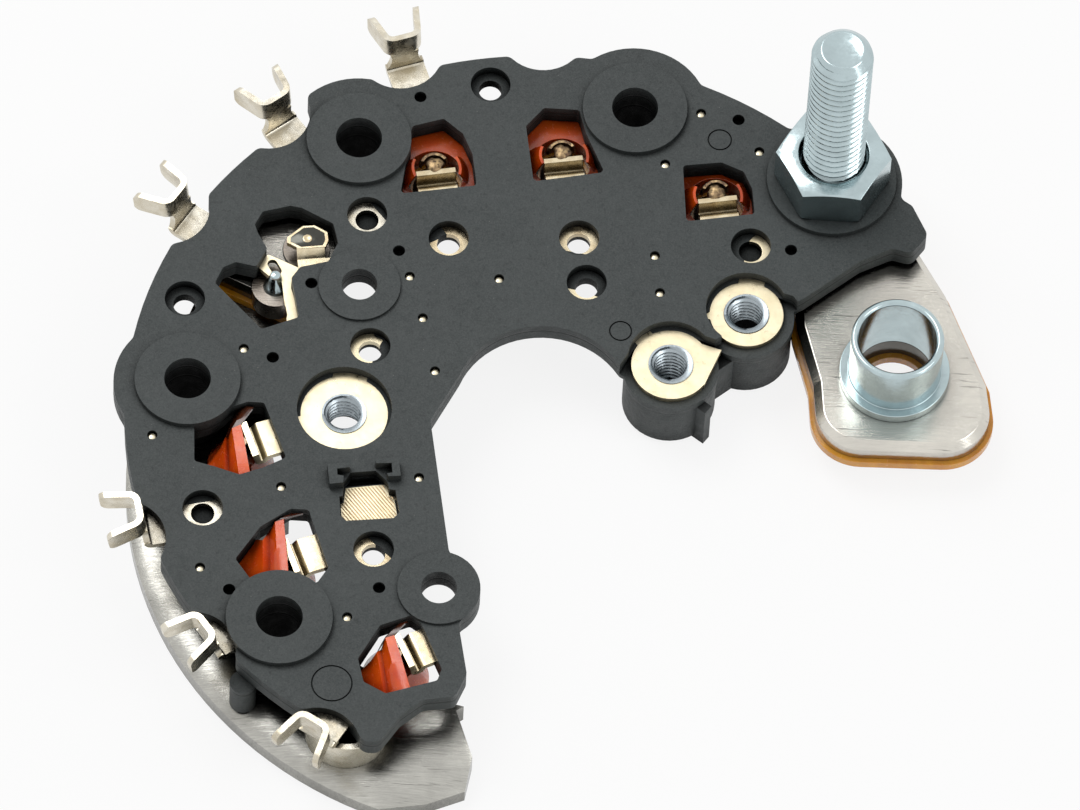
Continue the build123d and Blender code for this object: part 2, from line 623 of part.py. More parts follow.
# Terminal board: one moulding round bars, lugs and inserts
with BuildPart() as terminal_board:
    with BuildSketch(Plane.XY.offset(board_bottom)):
        add(board_outline.sketch)
    extrude(amount=board_thickness)
    # raised seats round the holes
    with BuildSketch(Plane.XY.offset(board_top)):
        with Locations(*tube_places):
            Circle(tube_disc_radius)
        with Locations(stud_place):
            Circle(stud_seat_radius)
    extrude(amount=disc_height)
    with BuildSketch(Plane.XY.offset(board_top)):
        with Locations(*locating_places):
            Circle(locating_disc_radius)
    extrude(amount=small_disc_height)
    # brackets that guide the regulator's contact
    with BuildSketch(Plane.XY.offset(board_top)):
        for bracket in contact_brackets:
            add(outline(bracket))
    extrude(amount=bracket_height)
    # tube shoulders seat on the plates, the tubes pass through them
    with BuildSketch(Plane.XY.offset(positive_top)):
        with Locations(*tube_places[:2]):
            Circle(tube_shoulder_radius)
    extrude(amount=board_gap)
    with BuildSketch(Plane.XY.offset(negative_top)):
        with Locations(*tube_places[2:]):
            Circle(tube_shoulder_radius)
        with Locations(post_place):
            Circle(post_radius)
    extrude(amount=board_bottom - negative_top)
    with BuildSketch(Plane.XY.offset(tube_end_height)):
        with Locations(*tube_places):
            Circle(tube_hole_radius + tube_wall)
    extrude(amount=board_bottom - tube_end_height)
    # bosses of the three threaded terminals
    with BuildSketch(Plane.XY.offset(boss_seam)):
        with Locations(sense_lug_place, signal_lug_place):
            Circle(boss_radius)
    extrude(amount=bar_bottom - boss_seam)
    with BuildSketch(Plane.XY.offset(boss_bottom)):
        with Locations(sense_lug_place, signal_lug_place):
            Circle(boss_radius - boss_seam_step)
        strip(signal_lug_place, sense_lug_place, boss_web)
    extrude(amount=boss_seam - boss_bottom)
    with BuildSketch(Plane.XY.offset(hook_bottom)):
        with Locations(Location((*hook_place, 0), (0, 0, hook_turn))):
            Rectangle(hook_length, hook_width)
    extrude(amount=boss_seam - hook_bottom)
    with BuildSketch(Plane.XY.offset(phase_boss_bottom)):
        with Locations(phase_lug_place):
            Circle(insert_radius + phase_boss_wall)
    extrude(amount=board_bottom - phase_boss_bottom)
    # pockets over the lugs, two of them open to the south
    with BuildSketch(Plane.XY.offset(bar_top)):
        with Locations(phase_lug_place):
            Circle(phase_lug_radius + pocket_clearance)
        with Locations(sense_lug_place):
            Circle(sense_lug_radius + pocket_clearance)
        with Locations(signal_lug_place):
            Circle(signal_lug_radius + pocket_clearance)
        for front in pocket_fronts:
            add(outline(front, pocket_rounding))
    extrude(amount=board_thickness, mode=Mode.SUBTRACT)
    with BuildSketch(Plane.XY.offset(bar_bottom)):
        for front in pocket_fronts:
            add(outline(front, pocket_rounding))
        with Locations(sense_lug_place):
            Circle(sense_lug_radius, mode=Mode.SUBTRACT)
        with Locations(signal_lug_place):
            Circle(signal_lug_radius, mode=Mode.SUBTRACT)
    extrude(amount=bar_thickness, mode=Mode.SUBTRACT)
    # windows over the diode leads
    with BuildSketch(Plane.XY.offset(board_bottom)):
        for window in windows:
            add(outline(window, window_corner))
        with Locations(*tube_places):
            Circle(tube_disc_radius, mode=Mode.SUBTRACT)
    extrude(amount=board_thickness, mode=Mode.SUBTRACT)
    # stepped holes, peep holes down to the bars, blind pin marks and ejector marks
    for place in stepped_places:
        depth = blind_depth if place in blind_stepped_places else board_thickness + 0.1
        with Locations(at(place, board_top)):
            CounterBoreHole(stepped_inner_radius, stepped_outer_radius, lug_recess, depth)
    with Locations(*[at(place, board_top) for place in peep_places]):
        Hole(peep_radius, lug_recess)
    with Locations(*[at(place, board_top) for place in pin_places]):
        Hole(pin_radius, pin_depth)
    with BuildSketch(Plane.XY.offset(board_top - ejector_ring_depth)):
        for x, y, radius in ejector_marks:
            with Locations((x, y)):
                Circle(radius)
                Circle(radius - ejector_ring_width, mode=Mode.SUBTRACT)
    extrude(amount=ejector_ring_depth, mode=Mode.SUBTRACT)
    # through holes of the mounting tubes, the locating holes and the stud
    with Locations(*[at(place, board_top + disc_height) for place in tube_places]):
        Hole(tube_hole_radius, board_top + disc_height + 1)
    with Locations(*[at(place, board_top + small_disc_height) for place in locating_places]):
        Hole(locating_hole_radius, board_thickness + small_disc_height + 0.1)
    with Locations(at(stud_place, board_top + disc_height)):
        Hole(stud_radius + pass_clearance, board_thickness + disc_height + 0.1)
    # recess of the regulator contact, which runs under the ends of the brackets
    with BuildSketch(Plane.XY.offset(bar_top)):
        add(outline(contact_recess))
    extrude(amount=lug_recess, mode=Mode.SUBTRACT)
    with BuildSketch(Plane.XY.offset(board_bottom + contact_slot_floor)):
        add(outline(contact_slot))
    extrude(amount=board_thickness, mode=Mode.SUBTRACT)
    # room for the bars and inserts, taken from the pieces themselves
    for piece in stator_terminals + phase_bars + inserts + [signal_bar, sense_bar]:
        add(piece.part, mode=Mode.SUBTRACT)
    for place, end in zip(insert_places, insert_bore_ends):
        with Locations(at(place, board_top)):
            Hole(insert_relief_radius, board_top - end)


# Diodes in the negative heat sink and on the positive one: cup with its lead
def diode(place, base, rim, lead_end):
    """Cup with its lead, turned in one."""
    with BuildPart() as cup:
        with Locations(at(place, base)):
            Cylinder(diode_radius, rim - base, align=(Align.CENTER, Align.CENTER, Align.MIN))
        with Locations(at(place, rim)):
            Cylinder(lead_radius, lead_end - rim, align=(Align.CENTER, Align.CENTER, Align.MIN))
    return cup


def diode_seal(place, rim):
    """Cone of sealing compound round the lead."""
    with BuildPart() as seal:
        with BuildSketch(upright(place, 0)):
            with BuildLine():
                Polyline((lead_radius, rim), (seal_base_radius, rim),
                         (seal_base_radius, rim + seal_base_height), (seal_top_radius, rim + seal_height),
                         (lead_radius, rim + seal_height), close=True)
            make_face()
        revolve(axis=Axis((place[0], place[1], 0), (0, 0, 1)))
    return seal


negative_diodes = [diode(place, diode_base, insulator_top, lead_top) for place in diode_places]
positive_diodes = [diode(place, insulator_top, positive_top + diode_rise, lead_end)
                   for place, lead_end in zip(upper_diode_places, [head_bottom, lead_top])]
seals = [diode_seal(place, insulator_top) for place in diode_places]


# Lower heat sink: inner ring, and the wide bevelled wing at the lower left
with BuildPart() as negative_heat_sink:
    with BuildSketch():
        sector(sink_inner_radius, sink_outer_radius, negative_start_angle, negative_end_angle)
        with Locations(*tube_places[:2]):
            Circle(sink_lobe_radius)
        with BuildLine():
            wing = CenterArc(wing_centre, wing_radius, wing_start_angle, wing_sweep)
            tail = Polyline(wing @ 1, *wing_tail)
            inner = CenterArc((0, 0), wing_inner_radius, wing_inner_start, wing_inner_sweep)
            Polyline(tail @ 1, inner @ 0)
            Polyline(inner @ 1, wing_joint, wing @ 0)
        make_face()
        with Locations(*diode_places):
            Circle(diode_radius + diode_lug_wall)
    extrude(amount=negative_thickness)
    outer_edges = negative_heat_sink.edges().group_by(Axis.Z)[-1].filter_by(
        lambda e: (e @ 0.5).X ** 2 + (e @ 0.5).Y ** 2 > bevel_start_radius ** 2)
    chamfer(outer_edges, edge_bevel_height, edge_bevel)
    with Locations(*[at(place, negative_top) for place in diode_places]):
        Hole(diode_radius, negative_top - diode_base)
    with Locations(*[at(place, negative_top) for place in tube_places[1:]]):
        Hole(tube_hole_radius + tube_wall + pass_clearance)
    with Locations(at(tube_places[0], negative_top)):
        Hole(tube_hole_radius + tube_wall + pass_clearance)


# Outline shared by the upper heat sink and the insulator
with BuildSketch() as upper_outline:
    with BuildLine():
        Polyline(*lobe_corners, close=True)
    make_face()
    ends = upper_outline.vertices().sort_by(Axis.Y)[:2]
    fillet(ends, lobe_end_rounding)
    bends = upper_outline.vertices().filter_by(lambda v: (v.X, v.Y) in lobe_corners)
    fillet(bends, lobe_rounding)
    sector(sink_inner_radius, sink_outer_radius, sink_start_angle, sink_split_angle)
    with Locations(*tube_places[:2]):
        Circle(sink_lobe_radius)
    with Locations(stud_place):
        Circle(stud_pad_radius)


# Insulator between the heat sinks
with BuildPart() as insulator:
    with BuildSketch(Plane.XY.offset(negative_top)):
        add(upper_outline.sketch)
        offset(amount=insulator_margin)
    extrude(amount=insulator_thickness)
    with Locations(*[at(place, insulator_top) for place in diode_places[:3]]):
        Hole(diode_radius + pass_clearance, insulator_thickness)
    with Locations(*[at(place, insulator_top) for place in tube_places[:2]]):
        Hole(tube_hole_radius + tube_wall + pass_clearance, insulator_thickness)
    with Locations(at(stud_place, insulator_top)):
        Hole(stud_head_radius + pass_clearance, insulator_thickness)
    with Locations(at(bush_place, insulator_top)):
        Hole(insulator_bush_hole, insulator_thickness)

# Sleeves through the upper heat sink, each with a flange that fills its window's floor
lead_collars = []
for place, window in zip(diode_places[:3], windows[:3]):
    with BuildPart() as sleeve:
        with Locations(at(place, insulator_top)):
            Cylinder(collar_radius, positive_thickness, align=(Align.CENTER, Align.CENTER, Align.MIN))
        with BuildSketch(Plane.XY.offset(positive_top)):
            add(outline(window))
            offset(amount=sleeve_margin)
            with Locations(place):
                Circle(collar_radius)
            with Locations(*tube_places[:2]):
                Circle(tube_shoulder_radius + 0.2, mode=Mode.SUBTRACT)
        extrude(amount=sleeve_flange)
        with Locations(at(place, positive_top + sleeve_flange)):
            Hole(collar_radius - sleeve_wall)
    lead_collars.append(sleeve)

# Folded hoods of the lower diodes, seated on the wing
slope = (collar_top_radius - collar_radius, collar_top - insulator_top)
for place, angle in zip(diode_places[3:], tab_angles[3:]):
    fold = angle + fold_turn
    with BuildPart() as hood:
        with BuildSketch(upright(place, 0)):
            with BuildLine():
                Polyline((collar_radius, negative_top), (collar_radius, insulator_top),
                         (collar_top_radius, collar_top), (collar_top_radius - collar_wall, collar_top),
                         (collar_radius - collar_wall, insulator_top), (diode_radius + 0.1, insulator_top),
                         (diode_radius + 0.1, negative_top), close=True)
            make_face()
        revolve(axis=Axis((place[0], place[1], 0), (0, 0, 1)))
        # radial fold along the cone's flank
        flank = Plane(origin=(*shifted(place, collar_radius, fold), insulator_top),
                      x_dir=(-sin(radians(fold)), cos(radians(fold)), 0),
                      z_dir=(slope[0] * cos(radians(fold)), slope[0] * sin(radians(fold)), slope[1]))
        with BuildSketch(flank):
            add(outline([(-fold_half_width, 0.4), (fold_half_width, 0.4), (0, -fold_depth)]))
            add(outline([(-fold_half_width, -0.4), (fold_half_width, -0.4), (0, fold_depth)]))
        extrude(amount=collar_radius * 2, both=True, mode=Mode.SUBTRACT)
        with Locations(at(ring_place, negative_top)):
            Cylinder(ring_radius + pass_clearance, board_gap + board_bottom, mode=Mode.SUBTRACT)
    lead_collars.append(hood)

# Upper heat sink with the lobe
with BuildPart() as positive_heat_sink:
    with BuildSketch(Plane.XY.offset(insulator_top)):
        add(upper_outline.sketch)
    extrude(amount=positive_thickness)
    lobe_edges = positive_heat_sink.edges().group_by(Axis.Z)[-1].filter_by(
        lambda e: (e @ 0.5).X > 34.5 and (e @ 0.5).Y < 28)
    chamfer(lobe_edges, lobe_bevel)
    with Locations(*[at(place, positive_top) for place in diode_places[:3]]):
        Hole(collar_radius + pass_clearance)
    with Locations(*[at(place, positive_top) for place in upper_diode_places]):
        Hole(diode_radius)
    with Locations(*[at(place, positive_top) for place in tube_places[:2]]):
        Hole(tube_hole_radius + tube_wall + pass_clearance)
    with Locations(at(stud_place, positive_top)):
        Hole(stud_neck_radius)
    with Locations(at(bush_place, positive_top)):
        Hole(bush_bore_radius)

# B+ stud: head under the upper heat sink, neck through the board and the nut, thread above it
nut_base = board_top + disc_height
nut_top = nut_base + nut_thickness
with BuildPart() as b_plus_stud:
    with Locations(at(stud_place, insulator_top - stud_head_thickness)):
        Cylinder(stud_head_radius, stud_head_thickness, align=(Align.CENTER, Align.CENTER, Align.MIN))
    with Locations(at(stud_place, insulator_top)):
        Cylinder(stud_neck_radius, nut_top - insulator_top, align=(Align.CENTER, Align.CENTER, Align.MIN))
    with Locations(at(stud_place, nut_top)):
        Cylinder(stud_radius, stud_top - nut_top, align=(Align.CENTER, Align.CENTER, Align.MIN))
    chamfer(b_plus_stud.edges().group_by(Axis.Z)[-1], stud_chamfer)

# Hexagon nut on the stud
with BuildPart() as b_plus_nut:
    with BuildSketch(Plane.XY.offset(nut_base)):
        with Locations(stud_place):
            RegularPolygon(nut_across_flats / 2, 6, major_radius=False)
    extrude(amount=nut_thickness)
    with BuildSketch(upright(stud_place, 0)):
        with BuildLine():
            Polyline((0, nut_base), (nut_face_radius, nut_base),
                     (nut_corner_radius, nut_base + nut_lower_bevel),
                     (nut_corner_radius, nut_top - nut_upper_bevel), (nut_crown_radius, nut_top),
                     (0, nut_top), close=True)
        make_face()
    revolve(axis=Axis((stud_place[0], stud_place[1], 0), (0, 0, 1)), mode=Mode.INTERSECT)
    with Locations(at(stud_place, nut_top)):
        CounterSinkHole(stud_neck_radius + nut_gap, stud_radius + nut_mouth, nut_thickness, 90)

# Flanged spacer bush on the lobe
with BuildPart() as spacer_bush:
    with Locations(at(bush_place, positive_top)):
        Cylinder(bush_flange_radius, bush_flange_thickness, align=(Align.CENTER, Align.CENTER, Align.MIN))
        Cylinder(bush_radius, bush_height, align=(Align.CENTER, Align.CENTER, Align.MIN))
    chamfer(spacer_bush.edges().group_by(Axis.Z)[-1], bush_chamfer)
    with Locations(at(bush_place, positive_top)):
        Hole(bush_bore_radius)
    chamfer(spacer_bush.edges().group_by(Axis.Z)[-1].sort_by(SortBy.LENGTH)[0], bush_chamfer)

# Ring that carries the board's end on the lower heat sink
with BuildPart() as support_ring:
    with BuildSketch(Plane.XY.offset(negative_top)):
        with Locations(ring_place):
            Circle(ring_radius)
            Circle(ring_radius - ring_wall, mode=Mode.SUBTRACT)
    extrude(amount=board_bottom - negative_top)


write(terminal_board, "terminal_board")
for i, piece in enumerate(stator_terminals):
    write(piece, f"stator_terminal_{i + 1}")
for i, piece in enumerate(phase_bars):
    write(piece, f"phase_bar_{i + 1}")
write(signal_bar, "signal_bar")
write(sense_bar, "sense_bar")
for i, piece in enumerate(inserts):
    write(piece, f"threaded_insert_{i + 1}")
for i, piece in enumerate(negative_diodes):
    write(piece, f"negative_diode_{i + 1}")
for i, piece in enumerate(positive_diodes):
    write(piece, f"positive_diode_{i + 1}")
for i, piece in enumerate(seals):
    write(piece, f"diode_seal_{i + 1}")
write(negative_heat_sink, "negative_heat_sink")
write(insulator, "insulator")
for i, piece in enumerate(lead_collars):
    write(piece, f"lead_collar_{i + 1}")
write(positive_heat_sink, "positive_heat_sink")
write(b_plus_stud, "b_plus_stud")
write(b_plus_nut, "b_plus_nut")
write(spacer_bush, "spacer_bush")
write(support_ring, "support_ring")
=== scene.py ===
import json
from math import cos, pi, radians, sin

import bmesh
import bpy
from mathutils import Matrix, Vector


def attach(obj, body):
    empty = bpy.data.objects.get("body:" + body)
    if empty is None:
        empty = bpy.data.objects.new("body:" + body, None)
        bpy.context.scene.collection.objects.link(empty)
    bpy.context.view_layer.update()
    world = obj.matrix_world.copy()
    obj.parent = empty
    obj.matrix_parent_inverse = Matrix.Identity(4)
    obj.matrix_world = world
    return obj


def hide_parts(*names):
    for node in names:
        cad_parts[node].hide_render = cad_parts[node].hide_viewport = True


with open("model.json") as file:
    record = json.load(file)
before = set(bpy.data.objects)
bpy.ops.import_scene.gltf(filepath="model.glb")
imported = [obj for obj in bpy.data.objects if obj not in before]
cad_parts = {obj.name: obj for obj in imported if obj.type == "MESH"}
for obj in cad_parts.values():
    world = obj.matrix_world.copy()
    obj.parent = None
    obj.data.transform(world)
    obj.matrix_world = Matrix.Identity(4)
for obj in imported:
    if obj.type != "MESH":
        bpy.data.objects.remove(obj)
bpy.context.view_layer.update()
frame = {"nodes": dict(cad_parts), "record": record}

MM = 0.001
NODES = frame["nodes"]

# Places and sizes of the CAD model and of the pieces added here: millimetres, and degrees for angles
BOARD_TOP = 11.5
STUD = (36.0, 36.0)
STUD_TOP = 44.0
STUD_RADIUS = 4.0
STUD_NECK_RADIUS = 3.4
STUD_HEAD_RADIUS = 6.5
STUD_HEAD_BASE = 2.2
STUD_HEAD_TOP = 4.8
STUD_PITCH = 1.25
STUD_THREAD_DEPTH = 0.66
STUD_CHAMFER = 1.25
STUD_CHAMFER_SLOPE = 0.95
NUT_TOP = 18.5
INSERT_TOP = 10.15
INSERT_BODY_TOP = 9.2
INSERT_BODY_RADIUS = 3.4
INSERT_RIM_RADIUS = 2.9
INSERT_BORE_RADIUS = 2.5
INSERT_MOUTH_RADIUS = 2.62
INSERT_PITCH = 0.8
INSERT_CORE_RADIUS = 2.1
INSERT_THREAD_DEPTH = 0.42
# Node, place and lower end of each threaded insert
INSERTS = [("threaded_insert_1", (-25.0, -2.1), 5.6), ("threaded_insert_2", (25.9, 16.2), 4.8),
           ("threaded_insert_3", (16.5, 8.0), 2.8)]
# Places of the board's sighting holes
PEEPS = [(-49.3, -7.7), (-38.4, 5.9), (-32.4, -14.2), (-42.0, -26.7), (-22.9, -32.7), (-14.9, -11.7),
         (-13.7, 4.2), (-15.7, 12.0), (-17.7, 18.1), (-6.2, 18.5), (13.7, 23.3), (14.6, 17.8),
         (14.4, 37.2), (18.7, 45.2), (26.5, 39.9)]
# Welded lead of each upper window, with the direction from it to the rolled end of its tab
UPPER_LEADS = [((-15.4, 35.4), 101.3), ((1.0, 38.4), 100.4), ((21.2, 33.7), 101.0)]
# Outline of the regulator's ribbed contact
PAD = [(-24.15, -13.2), (-19.3, -12.35), (-18.9, -13.95), (-18.1, -13.95), (-17.4, -17.0), (-17.95, -17.6),
       (-23.65, -18.4), (-24.3, -17.85), (-24.6, -15.4), (-24.2, -15.2)]
# Folded hoods of the three lower windows: each column has its lower and its upper end
TENTS = [[((-42.6, -11.3, 8.6), (-42.2, -10.4, 8.6)), ((-41.0, -11.8, 9.0), (-40.6, -7.8, 9.1)),
          ((-39.8, -12.2, 10.2), (-40.0, -6.8, 10.3)), ((-39.1, -12.4, 9.5), (-39.7, -6.3, 9.6)),
          ((-37.9, -12.6, 11.0), (-39.2, -5.8, 11.05)), ((-36.5, -12.2, 11.1), (-38.1, -5.2, 11.15))],
         [((-37.3, -24.9, 8.6), (-37.1, -24.2, 8.7)), ((-35.6, -27.6, 8.9), (-35.4, -20.9, 9.1)),
          ((-33.9, -27.8, 10.3), (-34.3, -21.6, 10.4)), ((-33.0, -27.8, 9.6), (-33.6, -20.0, 9.8)),
          ((-31.9, -27.8, 11.0), (-32.9, -19.2, 11.05)), ((-30.6, -27.6, 11.1), (-31.8, -18.8, 11.15))],
         [((-20.9, -40.2, 8.6), (-20.8, -38.9, 8.6)), ((-19.6, -42.2, 8.9), (-19.6, -37.6, 9.1)),
          ((-17.6, -43.2, 10.2), (-18.9, -37.0, 10.3)), ((-16.9, -43.4, 9.5), (-18.4, -36.2, 9.7)),
          ((-15.6, -43.2, 11.0), (-17.9, -35.2, 11.05)), ((-14.2, -42.8, 11.1), (-16.8, -34.8, 11.15))]]
# Upper ends of the same hoods, in a dark amber that is painted shade
TENT_TOPS = [[((-40.0, -6.8, 9.9), (-39.0, -2.4, 9.6)), ((-39.2, -5.8, 11.0), (-37.6, -2.3, 10.8)),
              ((-38.1, -5.2, 11.1), (-36.6, -2.4, 10.9))],
             [((-34.3, -21.4, 9.9), (-32.6, -18.6, 9.8)), ((-32.9, -19.2, 11.0), (-30.9, -17.7, 10.9)),
              ((-31.8, -18.8, 11.1), (-29.4, -17.7, 11.0))],
             [((-18.9, -36.8, 9.9), (-17.9, -34.3, 9.8)), ((-17.9, -35.2, 11.0), (-16.2, -32.9, 10.9)),
              ((-16.8, -34.8, 11.1), (-15.2, -32.5, 11.0))]]
# Outline of the eight-sided head
HEAD = [(-33.8, 23.1), (-31.9, 24.9), (-30.4, 25.1), (-28.7, 24.2), (-28.5, 23.0), (-28.8, 22.0),
        (-32.1, 21.5), (-33.8, 22.3)]
HEAD_DIMPLE = (-31.2, 23.0)
SECOND_LEAD = (-35.0, 17.4)
PAD_MIDDLE = (-21.0, -15.4)
PAD_TOP = 10.05
PAD_FLOOR = 9.9
PAD_TURN = -50
PAD_PITCH = 0.38
PAD_GROOVE = 0.11
PAD_HALF_COUNT = 24


# materials
class Finish:
    """A node material with one Principled shader, and short calls for the nodes that drive it."""

    def __init__(self, name, colour, roughness, metallic=0.0):
        self.material = bpy.data.materials.new(name)
        self.material.use_nodes = True
        self.tree = self.material.node_tree
        self.shader = self.tree.nodes["Principled BSDF"]
        self.shader.inputs["Base Color"].default_value = (*colour, 1)
        self.shader.inputs["Roughness"].default_value = roughness
        self.shader.inputs["Metallic"].default_value = metallic
        place = self.tree.nodes.new("ShaderNodeTexCoord")
        scale = self.tree.nodes.new("ShaderNodeVectorMath")
        scale.operation = "SCALE"
        scale.inputs["Scale"].default_value = 1 / MM
        self.tree.links.new(place.outputs["Object"], scale.inputs[0])
        self.mm = scale.outputs[0]
        self.normal = None

    def link(self, source, target):
        """Joins one node's output to another's input."""
        self.tree.links.new(source, target)

    def turned(self, angle, scale, offset=(0, 0, 0)):
        """Places on the part in millimetres, turned, scaled and shifted."""
        node = self.tree.nodes.new("ShaderNodeMapping")
        node.inputs["Rotation"].default_value = [radians(a) for a in angle]
        node.inputs["Scale"].default_value = scale
        node.inputs["Location"].default_value = offset
        self.link(self.mm, node.inputs["Vector"])
        return node.outputs[0]

    def noise(self, scale, detail, vector=None, rough=0.55):
        """Soft noise over the part, from 0 to 1."""
        node = self.tree.nodes.new("ShaderNodeTexNoise")
        node.inputs["Scale"].default_value = scale
        node.inputs["Detail"].default_value = detail
        node.inputs["Roughness"].default_value = rough
        self.link(vector or self.mm, node.inputs["Vector"])
        return node.outputs["Fac"]

    def spots(self, scale):
        """Distance to the nearest of many scattered points."""
        node = self.tree.nodes.new("ShaderNodeTexVoronoi")
        node.inputs["Scale"].default_value = scale
        self.link(self.mm, node.inputs["Vector"])
        return node.outputs["Distance"]

    def spread(self, value, low, high, to_low=0.0, to_high=1.0):
        """A value moved from one range to another, and held within it."""
        node = self.tree.nodes.new("ShaderNodeMapRange")
        for key, number in zip((1, 2, 3, 4), (low, high, to_low, to_high)):
            node.inputs[key].default_value = number
        self.link(value, node.inputs[0])
        return node.outputs[0]

    def maths(self, kind, first, second):
        """One maths node on two values, each a number or another node's output."""
        node = self.tree.nodes.new("ShaderNodeMath")
        node.operation = kind
        for key, value in enumerate((first, second)):
            if isinstance(value, (int, float)):
                node.inputs[key].default_value = value
            else:
                self.link(value, node.inputs[key])
        return node.outputs[0]

    def blend(self, share, first, second, kind="MIX"):
        """Two colours mixed or multiplied by a share."""
        node = self.tree.nodes.new("ShaderNodeMix")
        node.data_type = "RGBA"
        node.blend_type = kind
        if isinstance(share, (int, float)):
            node.inputs[0].default_value = share
        else:
            self.link(share, node.inputs[0])
        for key, colour in ((6, first), (7, second)):
            if isinstance(colour, tuple):
                node.inputs[key].default_value = (*colour, 1)
            else:
                self.link(colour, node.inputs[key])
        return node.outputs[2]

    def height(self):
        """Height over the part's underside, in millimetres."""
        node = self.tree.nodes.new("ShaderNodeSeparateXYZ")
        self.link(self.mm, node.inputs[0])
        return node.outputs[2]

    def near(self, value, centre, reach):
        """1 at a value, falling to 0 at a distance from it."""
        distance = self.maths("ABSOLUTE", self.maths("SUBTRACT", value, centre), 0.0)
        return self.spread(distance, 0.0, reach, 1.0, 0.0)

    def hollow(self, distance, low, high, floor):
        """Share of light that reaches holes and corners, from the surrounding shape itself."""
        node = self.tree.nodes.new("ShaderNodeAmbientOcclusion")
        node.samples = 6
        node.inputs["Distance"].default_value = distance * MM
        return self.spread(node.outputs["AO"], low, high, floor, 1.0)

    def shaded(self, share, colour):
        """A colour darkened by a share of light."""
        grey = self.tree.nodes.new("ShaderNodeCombineColor")
        for key in (0, 1, 2):
            self.link(share, grey.inputs[key])
        return self.blend(1.0, colour, grey.outputs[0], "MULTIPLY")

    def colour(self, source):
        """Drives the shader's colour."""
        self.link(source, self.shader.inputs["Base Color"])

    def roughness(self, source):
        """Drives the shader's roughness."""
        self.link(source, self.shader.inputs["Roughness"])

    def bump(self, height, distance, strength=1.0):
        """Relief of a height field, in millimetres; several calls add up."""
        node = self.tree.nodes.new("ShaderNodeBump")
        node.inputs["Distance"].default_value = distance * MM
        node.inputs["Strength"].default_value = strength
        self.link(height, node.inputs["Height"])
        if self.normal is not None:
            self.link(self.normal, node.inputs["Normal"])
        self.normal = node.outputs[0]
        self.link(self.normal, self.shader.inputs["Normal"])

    def set(self, **sockets):
        """Sets the shader's inputs by name, with an underscore for each space."""
        for name, value in sockets.items():
            self.shader.inputs[name.replace("_", " ")].default_value = value


LOW_SEAM = 8.0
HIGH_SEAM = 10.3
SEAM_REACH = 0.20


def board_finish():
    """Black moulding with grain, pits, dust, rubbed streaks and the dark lines of the mould's seams, with
    painted shade that darkens it and dims its reflection in holes and corners.
    """
    look = Finish("moulded_board", (0.05, 0.056, 0.056), 0.5)
    cloud = look.spread(look.noise(0.12, 4), 0.3, 0.7)
    base = look.blend(cloud, (0.036, 0.042, 0.042), (0.048, 0.055, 0.055))
    grain = look.noise(5.0, 4, rough=0.65)
    base = look.blend(look.spread(grain, 0.38, 0.68, 0.0, 0.75), base, (0.078, 0.086, 0.085))
    pits = look.noise(1.7, 5, rough=0.7)
    base = look.blend(look.spread(pits, 0.56, 0.66, 0.0, 0.55), base, (0.024, 0.027, 0.027))
    dust = look.spread(look.spots(0.62), 0.045, 0.02)
    base = look.blend(look.maths("MULTIPLY", dust, 0.6), base, (0.24, 0.24, 0.22))
    rub = look.noise(0.5, 5, look.turned((0, 0, 35), (0.25, 3.0, 1.0)), 0.6)
    base = look.blend(look.spread(rub, 0.66, 0.76, 0.0, 0.25), base, (0.11, 0.115, 0.115))
    up = look.height()
    low_seam = look.near(up, LOW_SEAM, SEAM_REACH)
    high_seam = look.near(up, HIGH_SEAM, SEAM_REACH)
    seam = look.maths("MAXIMUM", low_seam, high_seam)
    base = look.blend(look.maths("MULTIPLY", seam, 0.75), base, (0.012, 0.013, 0.013))
    # Painted shade: the moulding goes nearly black deep in its holes and tubes and darker in corners, and
    # reflects less there
    painted_shade_share = look.hollow(7.0, 0.30, 0.72, 0.02)
    look.colour(look.shaded(painted_shade_share, base))
    look.link(look.maths("MULTIPLY", painted_shade_share, 0.28), look.shader.inputs["Specular IOR Level"])
    look.roughness(look.spread(look.noise(0.8, 3), 0.3, 0.7, 0.44, 0.60))
    look.bump(grain, 0.08, 0.8)
    look.bump(pits, 0.08, 0.6)
    look.bump(look.maths("SUBTRACT", 1.0, seam), 0.12, 0.6)
    return look.material


def aluminium_finish(name, dark, light, contrast, angles, low, high, shade=(16.0, 0.30, 0.80, 0.16)):
    """Rolled and handled sheet: short fine scratches in a few directions over a soft cloud, with painted
    shade in its corners and hollows.
    """
    look = Finish(name, light, 0.3, 1.0)
    lines = None
    for angle, length, width in angles:
        run = look.noise(1.0, 4, look.turned((0, 0, angle), (length, width, 1.0), (angle, 0, 0)), 0.6)
        lines = run if lines is None else look.maths("MAXIMUM", lines, run)
    cloud = look.spread(look.noise(0.13, 4), 0.35, 0.65)
    base = look.blend(cloud, tuple(0.5 * (a + b) for a, b in zip(dark, light)), light)
    base = look.blend(look.spread(lines, 0.46, 0.70, 0.0, contrast), base, dark)
    deep = look.spread(look.noise(0.7, 5, look.turned((0, 0, -62), (0.3, 4.5, 1.0))), 0.62, 0.70, 0.0, 0.6)
    base = look.blend(deep, base, (0.16, 0.155, 0.14))
    # Painted shade: the colour darkens in corners and hollows
    look.colour(look.shaded(look.hollow(*shade), base))
    look.roughness(look.spread(lines, 0.4, 0.75, low, high))
    look.bump(lines, 0.05, 0.5)
    return look.material


